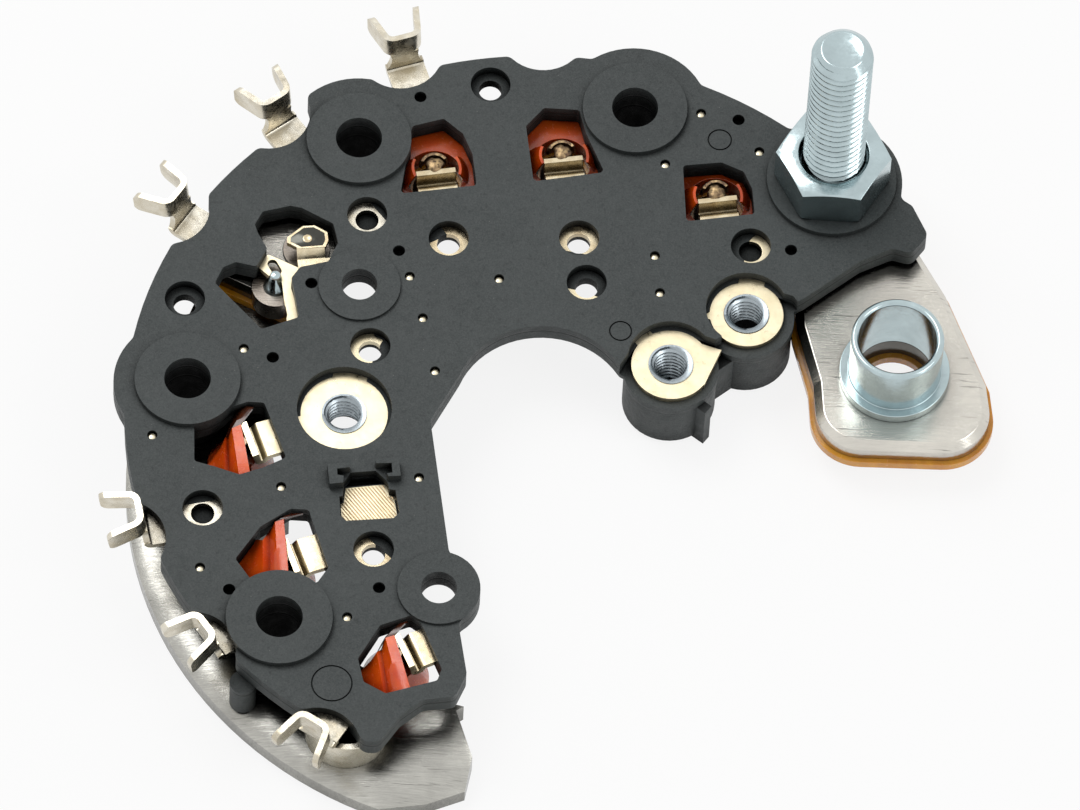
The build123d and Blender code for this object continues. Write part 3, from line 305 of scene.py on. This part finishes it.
def tin_finish(name, colour, shade, low=0.16, high=0.36, dark=0.55, floor=0.2):
    """Plated sheet with clouds of a second tone, stains and streaks, and painted shade in its corners and
    hollows.
    """
    look = Finish(name, colour, 0.25, 1.0)
    cloud = look.spread(look.noise(0.45, 4), 0.35, 0.68)
    base = look.blend(cloud, colour, shade)
    stain = look.noise(0.28, 5, look.turned((0, 0, 40), (1, 1, 1.6), (9, 4, 2)), 0.6)
    base = look.blend(look.spread(stain, 0.56, 0.70, 0.0, 0.45), base, tuple(c * dark for c in shade))
    streak = look.noise(1.2, 4, look.turned((0, 0, 20), (0.4, 3.2, 1.6)))
    base = look.blend(look.spread(streak, 0.60, 0.76, 0.0, 0.35), base, tuple(c * 0.62 for c in colour))
    # Painted shade: the colour darkens in corners and hollows, down to the floor share
    look.colour(look.shaded(look.hollow(4.0, 0.20, 0.72, floor), base))
    look.roughness(look.spread(look.noise(1.0, 3), 0.3, 0.7, low, high))
    look.bump(look.noise(1.1, 3), 0.03, 0.4)
    return look.material


def steel_finish(name, colour, low=0.2, high=0.38, shade=0.72):
    """Plain or zinc-plated steel, faintly clouded and rubbed, with painted shade in its corners."""
    look = Finish(name, colour, 0.28, 1.0)
    cloud = look.spread(look.noise(0.35, 3), 0.3, 0.7)
    base = look.blend(cloud, colour, tuple(c * shade for c in colour))
    rub = look.noise(0.6, 4, look.turned((0, 0, 10), (1, 1, 3.5)))
    base = look.blend(look.spread(rub, 0.58, 0.74, 0.0, 0.22), base, tuple(c * 0.6 for c in colour))
    # Painted shade: the colour darkens in corners and hollows
    look.colour(look.shaded(look.hollow(2.0, 0.10, 0.60, 0.15), base))
    look.roughness(look.spread(look.noise(2.0, 3), 0.3, 0.7, low, high))
    look.bump(look.noise(2.0, 2), 0.01, 0.3)
    return look.material


def amber_finish(name, bright, deep, shade_floor, coat=0.4):
    """Glossy orange or amber plastic, with painted shade that darkens it in corners."""
    look = Finish(name, bright, 0.2)
    cloud = look.spread(look.noise(0.35, 3), 0.3, 0.7)
    base = look.blend(cloud, bright, deep)
    # Painted shade: the colour darkens in corners, down to the shade floor
    look.colour(look.shaded(look.hollow(5.0, 0.20, 0.75, shade_floor), base))
    look.roughness(look.spread(look.noise(1.5, 3), 0.3, 0.7, 0.14, 0.3))
    look.bump(look.noise(1.2, 3), 0.05, 0.3)
    look.set(Coat_Weight=coat, Coat_Roughness=0.12, Subsurface_Weight=0.12, Subsurface_Scale=0.002)
    return look.material


def compound_finish():
    """Black sealing compound, uneven and half glossy."""
    look = Finish("sealing_compound", (0.02, 0.018, 0.018), 0.3)
    look.colour(look.blend(look.noise(0.9, 3), (0.012, 0.011, 0.011), (0.04, 0.035, 0.03)))
    look.roughness(look.spread(look.noise(1.3, 3), 0.3, 0.7, 0.2, 0.5))
    look.bump(look.noise(1.4, 3), 0.1, 0.4)
    return look.material


def weld_finish():
    """Heat-tinted metal round a welded lead: brown and straw with dark soot."""
    look = Finish("weld_tint", (0.30, 0.20, 0.11), 0.35, 1.0)
    cloud = look.spread(look.noise(0.9, 5), 0.35, 0.65)
    base = look.blend(cloud, (0.42, 0.30, 0.16), (0.12, 0.075, 0.05))
    look.colour(look.blend(look.spread(look.noise(2.4, 4), 0.5, 0.68), base, (0.03, 0.022, 0.02)))
    look.roughness(look.spread(look.noise(2.0, 3), 0.3, 0.7, 0.25, 0.55))
    look.bump(look.noise(3.0, 4), 0.12, 0.7)
    return look.material


def pad_finish():
    """Copper-gold contact, with painted shade at the bottom of its grooves."""
    look = Finish("ribbed_pad", (0.80, 0.62, 0.40), 0.35, 1.0)
    cloud = look.spread(look.noise(0.6, 4), 0.3, 0.7)
    base = look.blend(cloud, (0.84, 0.63, 0.38), (0.72, 0.53, 0.31))
    # Painted shade: the colour darkens towards the bottom of the grooves
    look.colour(look.blend(look.spread(look.height(), 10.02, 9.94, 0.0, 0.75), base, (0.34, 0.20, 0.10)))
    look.roughness(look.spread(look.noise(1.6, 3), 0.3, 0.7, 0.3, 0.45))
    look.bump(look.noise(3.5, 3), 0.03, 0.4)
    return look.material


# Runs of fine scratches: angle in degrees, then the scale of the noise along and across them
WING_LINES = ((-72, 0.12, 5.0), (-58, 0.2, 6.0), (-84, 0.15, 7.0), (15, 0.3, 6.0))
LOBE_LINES = ((18, 0.12, 5.0), (-34, 0.3, 6.0), (63, 0.3, 6.0), (-80, 0.2, 7.0))
finishes = {
    "board": board_finish(),
    "aluminium": aluminium_finish("rolled_aluminium", (0.50, 0.48, 0.44), (0.74, 0.71, 0.64), 0.30,
                                  LOBE_LINES, 0.10, 0.24),
    "scratched": aluminium_finish("scratched_aluminium", (0.26, 0.255, 0.235), (0.62, 0.61, 0.56), 0.45,
                                  WING_LINES, 0.14, 0.30, (15.0, 0.35, 0.85, 0.20)),
    # A darker copy of the aluminium: painted shade for the diodes deep under the windows
    "shaded_floor": aluminium_finish("shaded_aluminium", (0.20, 0.17, 0.14), (0.36, 0.32, 0.28), 0.35,
                                   LOBE_LINES, 0.2, 0.4, (8.0, 0.15, 0.6, 0.3)),
    # Very dark metal: a painted reflection for the polished face of the eight-sided head
    "painted_reflection": steel_finish("dark_reflection", (0.085, 0.085, 0.075), 0.12, 0.22),
    "peep": tin_finish("peep_plate", (0.90, 0.82, 0.62), (0.72, 0.64, 0.46), 0.3, 0.45, 0.8, 0.75),
    "tin_plate": tin_finish("tin_plate", (0.74, 0.70, 0.60), (0.56, 0.50, 0.38)),
    "lug_plate": tin_finish("lug_plate", (0.86, 0.76, 0.54), (0.76, 0.66, 0.44), 0.26, 0.42, 0.8),
    "bus_bar": tin_finish("bus_bar_plate", (0.78, 0.68, 0.48), (0.60, 0.48, 0.30)),
    "steel": steel_finish("plain_steel", (0.40, 0.45, 0.48)),
    "zinc": steel_finish("zinc_plate", (0.50, 0.60, 0.62), 0.12, 0.24, 0.85),
    "insulator": amber_finish("amber_sheet", (0.76, 0.34, 0.012), (0.56, 0.21, 0.008), 0.7),
    "hood": amber_finish("amber_hood", (0.95, 0.14, 0.010), (0.80, 0.08, 0.006), 0.16),
    # A dark copy of the amber: painted shade for the upper ends of the hoods under the board
    "shaded_hood": amber_finish("shaded_amber_hood", (0.10, 0.022, 0.006), (0.03, 0.010, 0.005), 0.3),
    "bright_hood": amber_finish("bright_amber_hood", (0.88, 0.115, 0.004), (0.66, 0.055, 0.003), 0.30, 0.1),
    "compound": compound_finish(),
    "diode": tin_finish("diode_plate", (0.50, 0.38, 0.27), (0.32, 0.20, 0.13)),
    "weld": weld_finish(),
    "pad": pad_finish(),
}
# Nodes that look different from the others in their slot
own_finish = {
    # Painted shade: the positive diodes deep under the windows take the darker copy of the aluminium
    "positive_diode_1": "shaded_floor",
    "positive_diode_2": "shaded_floor",
    "negative_heat_sink": "scratched",
    "spacer_bush": "zinc",
    "signal_bar": "lug_plate",
    "sense_bar": "lug_plate",
    "phase_bar_3": "lug_plate",
}
own_finish.update({f"lead_collar_{i}": "hood" for i in range(1, 7)})
slot_of = {row["node"]: row["material_slot"] for row in frame["record"]["subparts"]}


# CAD nodes: finish and softened edges
SHARP_ANGLE = 32.0
FLAT_ANGLE = 0.6
WELD_DISTANCE = 2e-7


def soften(node, width):
    """Rounds the sharp edges of a CAD node with modifiers: its own points stay, its shading changes."""
    obj = NODES[node]
    mesh = obj.data
    if mesh.has_custom_normals:
        mesh.attributes.remove(mesh.attributes["custom_normal"])
    mesh.polygons.foreach_set("use_smooth", [True] * len(mesh.polygons))
    weld = obj.modifiers.new("weld", "WELD")
    weld.merge_threshold = WELD_DISTANCE
    flat = obj.modifiers.new("flat", "DECIMATE")
    flat.decimate_type = "DISSOLVE"
    flat.angle_limit = radians(FLAT_ANGLE)
    if width:
        edge = obj.modifiers.new("edge", "BEVEL")
        edge.width = width * MM
        edge.segments = 2
        edge.limit_method = "ANGLE"
        edge.angle_limit = radians(SHARP_ANGLE)
        edge.harden_normals = True
        edge.miter_outer = "MITER_ARC"
    else:
        split = obj.modifiers.new("split", "EDGE_SPLIT")
        split.split_angle = radians(SHARP_ANGLE)


# Width of the softened edges in each slot, in millimetres; with 0 they stay sharp
EDGES = {"board": 0.18, "aluminium": 0.25, "tin_plate": 0.10, "bus_bar": 0.08, "steel": 0.0, "zinc": 0.15,
         "insulator": 0.10, "compound": 0.0, "diode": 0.0}
for node, node_object in NODES.items():
    node_slot = slot_of[node]
    node_object.data.materials.clear()
    node_object.data.materials.append(finishes[own_finish.get(node, node_slot)])
    soften(node, EDGES[node_slot])


# pieces of the scene
def piece(name, verts, faces, finish, replaced=(), split=35.0):
    """A mesh, given in millimetres, that rides on the part."""
    mesh = bpy.data.meshes.new(name)
    mesh.from_pydata([Vector(v) * MM for v in verts], [], faces)
    mesh.validate()
    bm = bmesh.new()
    bm.from_mesh(mesh)
    bmesh.ops.remove_doubles(bm, verts=bm.verts, dist=1e-7)
    bmesh.ops.recalc_face_normals(bm, faces=bm.faces)
    bm.to_mesh(mesh)
    bm.free()
    mesh.polygons.foreach_set("use_smooth", [True] * len(mesh.polygons))
    obj = bpy.data.objects.new(name, mesh)
    bpy.context.scene.collection.objects.link(obj)
    obj.data.materials.append(finishes[finish])
    edge = obj.modifiers.new("split", "EDGE_SPLIT")
    edge.split_angle = radians(split)
    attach(obj, "root")
    if replaced:
        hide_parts(*replaced)


def turned_surface(place, rows, count, close=True):
    """Points and faces of rings round a vertical axis.

    A row is a height with a radius, or with a function that gives the radius at an angle.
    """
    verts, faces = [], []
    for height, radius in rows:
        for i in range(count):
            angle = 2 * pi * i / count
            r = radius(angle) if callable(radius) else radius
            verts.append((place[0] + r * cos(angle), place[1] + r * sin(angle), height))
    for j in range(len(rows) - 1):
        for i in range(count):
            k = (i + 1) % count
            faces.append((j * count + i, j * count + k, (j + 1) * count + k, (j + 1) * count + i))
    if close:
        faces.append(tuple(range(count)))
        faces.append(tuple((len(rows) - 1) * count + i for i in range(count)))
    return verts, faces


def ridge(turn):
    """Height of a rolled thread's ridge over one pitch, from 0 at the root to 1 at the crest."""
    turn = turn % 1.0
    slope = abs(turn - 0.5) * 2
    return min(1.0, max(0.0, (1.0 - slope) * 1.55 - 0.22))


RINGS_PER_PITCH = 12


def thread_rows(low, high, radius, depth, pitch, cap=None):
    """Rings of a threaded surface: each radius follows the helix, up to a cap where one is given."""
    rows = []
    steps = int((high - low) / pitch * RINGS_PER_PITCH)
    for j in range(steps + 1):
        height = low + (high - low) * j / steps

        def at_angle(angle, height=height):
            rise = ridge(height / pitch - angle / (2 * pi))
            r = radius - depth * (1 - rise)
            return min(r, cap(height)) if cap else r

        rows.append((height, at_angle))
    return rows


def stud_chamfer(height):
    """Largest radius of the stud at a height, which falls along the chamfer at its end."""
    return STUD_RADIUS - max(0.0, height - (STUD_TOP - STUD_CHAMFER)) * STUD_CHAMFER_SLOPE


def build_stud():
    """M8 stud: plain head below, neck inside the nut, rolled thread and a dished, chamfered end."""
    rows = [(STUD_HEAD_BASE, STUD_HEAD_RADIUS), (STUD_HEAD_TOP, STUD_HEAD_RADIUS),
            (STUD_HEAD_TOP, STUD_NECK_RADIUS), (NUT_TOP - 0.65, STUD_NECK_RADIUS)]
    rows += thread_rows(NUT_TOP - 0.6, STUD_TOP - 0.05, STUD_RADIUS, STUD_THREAD_DEPTH, STUD_PITCH,
                        stud_chamfer)
    rows += [(STUD_TOP, 2.72), (STUD_TOP - 0.10, 2.45), (STUD_TOP - 0.16, 0.9)]
    verts, faces = turned_surface(STUD, rows, 72)
    piece("b_plus_stud_thread", verts, faces, "zinc", ["b_plus_stud"], split=50)


def build_insert(node, place, bottom):
    """Insert with a narrower upper end and an M5 thread inside."""
    outer = [(bottom, INSERT_BORE_RADIUS), (bottom, INSERT_BODY_RADIUS),
             (INSERT_BODY_TOP, INSERT_BODY_RADIUS), (INSERT_BODY_TOP, INSERT_RIM_RADIUS),
             (INSERT_TOP, INSERT_RIM_RADIUS), (INSERT_TOP, INSERT_MOUTH_RADIUS)]
    inner = thread_rows(bottom, INSERT_TOP - 0.25, INSERT_CORE_RADIUS, -INSERT_THREAD_DEPTH, INSERT_PITCH)
    rows = outer + inner[::-1] + [(bottom, INSERT_BORE_RADIUS)]
    verts, faces = turned_surface(place, rows, 60, close=False)
    piece(node + "_thread", verts, faces, "steel", [node], split=50)


def swept_band(place, rows, start, end, thickness, count=24):
    """Points and faces of a curved panel between two angles; a row is a height and an outer radius."""
    verts, faces = [], []
    inner_rows = [(z, r - thickness) for z, r in reversed(rows)]
    ring = list(rows) + inner_rows
    for i in range(count + 1):
        angle = radians(start + (end - start) * i / count)
        for z, r in ring:
            verts.append((place[0] + r * cos(angle), place[1] + r * sin(angle), z))
    n = len(ring)
    for i in range(count):
        for j in range(n):
            k = (j + 1) % n
            faces.append((i * n + j, i * n + k, (i + 1) * n + k, (i + 1) * n + j))
    faces.append(tuple(range(n)))
    faces.append(tuple(count * n + j for j in range(n)))
    return verts, faces


# Heights and radii of the bright spots
PEEP_ROWS = ((9.95, 0.62), (10.75, 0.62), (10.98, 0.52), (11.08, 0.3))


def build_peep_dots():
    """Bright spots of the bars in the small sighting holes, ending just under the board's face."""
    for i, place in enumerate(PEEPS):
        verts, faces = turned_surface(place, PEEP_ROWS, 20)
        piece(f"peep_dot_{i + 1}", verts, faces, "peep")


def bead_radius(radius, number):
    """Radius of an uneven weld bead as a function of the angle; each bead has its own waves."""

    def at_angle(angle):
        return radius * (1 + 0.10 * sin(3 * angle + number) + 0.06 * sin(7 * angle + 2 * number))

    return at_angle


# Heights and radii of the weld beads and of the tabs' rolled ends
BEAD_ROWS = ((9.3, 0.95), (10.2, 1.15), (10.7, 1.2), (11.0, 1.05), (11.2, 0.75), (11.28, 0.4))
TAB_END_ROWS = ((9.0, 2.15), (9.9, 2.2), (10.6, 2.05), (10.85, 1.85))
TAB_END_HALF_ANGLE = 62
BAND_THICKNESS = 0.35


def build_welds():
    """Tinted bead on each welded lead of the upper windows, with the rolled end of the tab behind it."""
    for i, (place, angle) in enumerate(UPPER_LEADS):
        rows = [(height, bead_radius(radius, i)) for height, radius in BEAD_ROWS]
        verts, faces = turned_surface(place, rows, 28)
        piece(f"weld_bead_{i + 1}", verts, faces, "weld")
        start = angle - TAB_END_HALF_ANGLE
        end = angle + TAB_END_HALF_ANGLE
        verts, faces = swept_band(place, TAB_END_ROWS, start, end, BAND_THICKNESS)
        piece(f"tab_end_{i + 1}", verts, faces, "weld")


# Each side panel: name, first and last angle from the tab's end, lower and upper radius, and top height
HOOD_PANELS = (("left", 58, 112, 4.5, 3.0, 10.4), ("right", -112, -64, 4.5, 3.5, 9.9))
HOOD_PANEL_BASE = 8.22
HOOD_PANEL_SWELL = 0.12


def build_hood_panels():
    """Side panels of the folded hoods that rise in the three upper windows."""
    for i, (place, angle) in enumerate(UPPER_LEADS):
        for name, start, end, lower, upper, top in HOOD_PANELS:
            half_way = (HOOD_PANEL_BASE + top) / 2
            swollen = (lower + upper) / 2 + HOOD_PANEL_SWELL
            rows = [(HOOD_PANEL_BASE, lower), (half_way, swollen), (top, upper)]
            verts, faces = swept_band(place, rows, angle + start, angle + end, BAND_THICKNESS)
            piece(f"hood_panel_{name}_{i + 1}", verts, faces, "bright_hood")


HOOD_THICKNESS = 0.4


def sheet(points, thickness, rise, parts=10):
    """Points and faces of a thin panel through columns of two points; each column's middle is raised."""
    verts, faces = [], []
    columns = len(points)
    for side in (0.0, -thickness):
        for first, second in points:
            for j in range(parts + 1):
                t = j / parts
                x, y, z = (a + (b - a) * t for a, b in zip(first, second))
                verts.append((x, y, z + side + rise * sin(radians(180 * t))))
    row = parts + 1
    under = columns * row
    for i in range(columns - 1):
        for j in range(parts):
            a = i * row + j
            faces.append((a, a + 1, a + row + 1, a + row))
            faces.append((under + a, under + a + row, under + a + row + 1, under + a + 1))
    edge = [i * row for i in range(columns)] + [(columns - 1) * row + j for j in range(1, row)]
    edge += [i * row + parts for i in range(columns - 2, -1, -1)] + [j for j in range(parts - 1, 0, -1)]
    for a, b in zip(edge, edge[1:] + edge[:1]):
        faces.append((a, b, under + b, under + a))
    return verts, faces


def build_tents():
    """Folded orange hoods over the three lower leads, and their upper ends in a dark amber that is painted
    shade.
    """
    for i, rows in enumerate(TENTS):
        verts, faces = sheet(rows, HOOD_THICKNESS, 0.25)
        piece(f"folded_hood_{i + 4}", verts, faces, "bright_hood", split=50.0)
    for i, rows in enumerate(TENT_TOPS):
        verts, faces = sheet(rows, HOOD_THICKNESS, 0.15)
        piece(f"hood_top_{i + 4}", verts, faces, "shaded_hood", split=50.0)


# Height and share of the head's outline for each ring of its polished face
HEAD_FACE_ROWS = ((11.05, 0.84), (11.14, 0.84), (11.17, 0.80))


def build_head_face():
    """Polished face of the eight-sided head, set in from its bright rim; its dark metal colour is a painted
    reflection.
    """
    middle = (sum(x for x, y in HEAD) / len(HEAD), sum(y for x, y in HEAD) / len(HEAD))
    rows = []
    for height, share in HEAD_FACE_ROWS:
        rows.append([(middle[0] + (x - middle[0]) * share, middle[1] + (y - middle[1]) * share, height)
                     for x, y in HEAD])
    verts = [v for row in rows for v in row]
    n = len(HEAD)
    faces = [tuple(range(n)), tuple(2 * n + j for j in range(n))]
    for i in range(len(rows) - 1):
        for j in range(n):
            k = (j + 1) % n
            faces.append((i * n + j, i * n + k, (i + 1) * n + k, (i + 1) * n + j))
    piece("head_face", verts, faces, "painted_reflection", split=60.0)


def build_double_window():
    """Dimple of the eight-sided head, and the cone of the second upper diode's lead."""
    rows = [(11.1, 0.62), (11.24, 0.58), (11.27, 0.48), (11.22, 0.38), (11.19, 0.2)]
    verts, faces = turned_surface(HEAD_DIMPLE, rows, 28)
    piece("head_dimple", verts, faces, "bus_bar")
    rows = [(8.1, 1.55), (8.8, 1.25), (9.6, 0.95), (10.6, 0.78), (11.0, 0.62), (11.15, 0.35)]
    verts, faces = turned_surface(SECOND_LEAD, rows, 28)
    piece("lead_cone", verts, faces, "zinc")


def build_pad():
    """Ribbed face of the regulator's contact: real grooves that run diagonally."""
    bm = bmesh.new()
    ring = [bm.verts.new((x, y, PAD_TOP)) for x, y in PAD]
    bm.faces.new(ring)
    run = Vector((sin(radians(PAD_TURN)), -cos(radians(PAD_TURN)), 0))
    middle = Vector((*PAD_MIDDLE, PAD_TOP))
    step = PAD_PITCH / 2
    for k in range(-PAD_HALF_COUNT, PAD_HALF_COUNT + 1):
        geometry = bm.verts[:] + bm.edges[:] + bm.faces[:]
        bmesh.ops.bisect_plane(bm, geom=geometry, plane_co=middle + run * (k * step), plane_no=run)
    for v in bm.verts:
        place = (v.co - middle).dot(run) / step
        if abs(place - round(place)) < 1e-3 and round(place) % 2:
            v.co.z -= PAD_GROOVE
    skirt = bmesh.ops.extrude_face_region(bm, geom=bm.faces[:])
    for v in (g for g in skirt["geom"] if isinstance(g, bmesh.types.BMVert)):
        v.co.z = PAD_FLOOR
    verts = [tuple(v.co) for v in bm.verts]
    bm.verts.index_update()
    faces = [tuple(v.index for v in f.verts) for f in bm.faces]
    bm.free()
    piece("contact_pad", verts, faces, "pad", split=25)


build_stud()
for insert in INSERTS:
    build_insert(*insert)
build_peep_dots()
build_welds()
build_hood_panels()
build_tents()
build_head_face()
build_double_window()
build_pad()


# floor, light and camera
# Half side and level of the floor in metres, its grey, and its share of plain white where it is seen
FLOOR_HALF = 3.0
FLOOR_LEVEL = -0.00005
FLOOR_GREY = 0.86
FLOOR_GLOW = 0.86


def seen_rays(tree):
    """1 for rays from the camera, from glossy faces and through clear ones, 0 for light that spreads."""
    rays = tree.nodes.new("ShaderNodeLightPath")
    seen = tree.nodes.new("ShaderNodeMath")
    seen.operation = "MAXIMUM"
    both = tree.nodes.new("ShaderNodeMath")
    both.operation = "MAXIMUM"
    tree.links.new(rays.outputs["Is Camera Ray"], seen.inputs[0])
    tree.links.new(rays.outputs["Is Glossy Ray"], seen.inputs[1])
    tree.links.new(seen.outputs[0], both.inputs[0])
    tree.links.new(rays.outputs["Is Transmission Ray"], both.inputs[1])
    return both.outputs[0]


def stage_plane():
    """Pale floor just under the part."""
    mesh = bpy.data.meshes.new("floor")
    half = FLOOR_HALF
    level = FLOOR_LEVEL
    corners = [(-half, -half, level), (half, -half, level), (half, half, level), (-half, half, level)]
    mesh.from_pydata(corners, [], [(0, 1, 2, 3)])
    floor = bpy.data.objects.new("floor", mesh)
    bpy.context.scene.collection.objects.link(floor)
    material = bpy.data.materials.new("pale_floor")
    material.use_nodes = True
    tree = material.node_tree
    tree.nodes.clear()
    out = tree.nodes.new("ShaderNodeOutputMaterial")
    plain = tree.nodes.new("ShaderNodeBsdfDiffuse")
    plain.inputs["Color"].default_value = (FLOOR_GREY, FLOOR_GREY, FLOOR_GREY, 1)
    glow = tree.nodes.new("ShaderNodeEmission")
    glow.inputs["Strength"].default_value = 1.0
    share = tree.nodes.new("ShaderNodeMath")
    share.operation = "MULTIPLY"
    share.inputs[1].default_value = FLOOR_GLOW
    mix = tree.nodes.new("ShaderNodeMixShader")
    links = tree.links
    links.new(seen_rays(tree), share.inputs[0])
    links.new(share.outputs[0], mix.inputs[0])
    links.new(plain.outputs[0], mix.inputs[1])
    links.new(glow.outputs[0], mix.inputs[2])
    links.new(mix.outputs[0], out.inputs[0])
    mesh.materials.append(material)


def world_light(level):
    """Even light from all round, which looks plain white where it is seen."""
    world = bpy.data.worlds.new("studio")
    bpy.context.scene.world = world
    world.use_nodes = True
    tree = world.node_tree
    back = tree.nodes["Background"]
    strength = tree.nodes.new("ShaderNodeMapRange")
    strength.inputs["To Min"].default_value = level
    tree.links.new(seen_rays(tree), strength.inputs["Value"])
    tree.links.new(strength.outputs[0], back.inputs["Strength"])
    back.inputs["Color"].default_value = (1, 1, 1, 1)


def lamp(name, place, size, power):
    """Square soft lamp that points at the part: place and side in metres, power in watts."""
    data = bpy.data.lights.new(name, "AREA")
    data.shape = "RECTANGLE"
    data.size = size
    data.size_y = size
    data.energy = power
    obj = bpy.data.objects.new(name, data)
    bpy.context.scene.collection.objects.link(obj)
    obj.location = place
    obj.rotation_euler = (-Vector(place)).to_track_quat("-Z", "Y").to_euler()


# Angles in degrees, distance in metres and lens in millimetres
CAMERA_TILT = 30.25
CAMERA_ROLL = 3.3
CAMERA_DISTANCE = 1.8
CAMERA_LENS = 468.0


def photo_camera():
    """Camera of the photograph: tilted off the vertical, and rolled a little."""
    tilt = radians(CAMERA_TILT)
    roll = radians(CAMERA_ROLL)
    back = Vector((0, -sin(tilt), cos(tilt)))
    right = Vector((1, 0, 0))
    up = back.cross(right)
    across = cos(roll) * right + sin(roll) * up
    upward = -sin(roll) * right + cos(roll) * up
    data = bpy.data.cameras.new("photo_camera")
    data.sensor_width = 36.0
    data.lens = CAMERA_LENS
    data.clip_start = 0.1
    data.clip_end = 20.0
    camera = bpy.data.objects.new("photo_camera", data)
    bpy.context.scene.collection.objects.link(camera)
    spot = Vector((0, 0, BOARD_TOP * MM)) + back * CAMERA_DISTANCE
    camera.matrix_world = Matrix.Translation(spot) @ Matrix((across, upward, back)).transposed().to_4x4()
    bpy.context.scene.camera = camera


photo_camera()
stage_plane()
world_light(0.50)
lamp("key_light", (-0.35, 0.35, 0.75), 0.5, 3.4)
lamp("side_light", (0.6, -0.2, 0.5), 0.4, 1.4)
bpy.context.scene.view_settings.view_transform = "Standard"
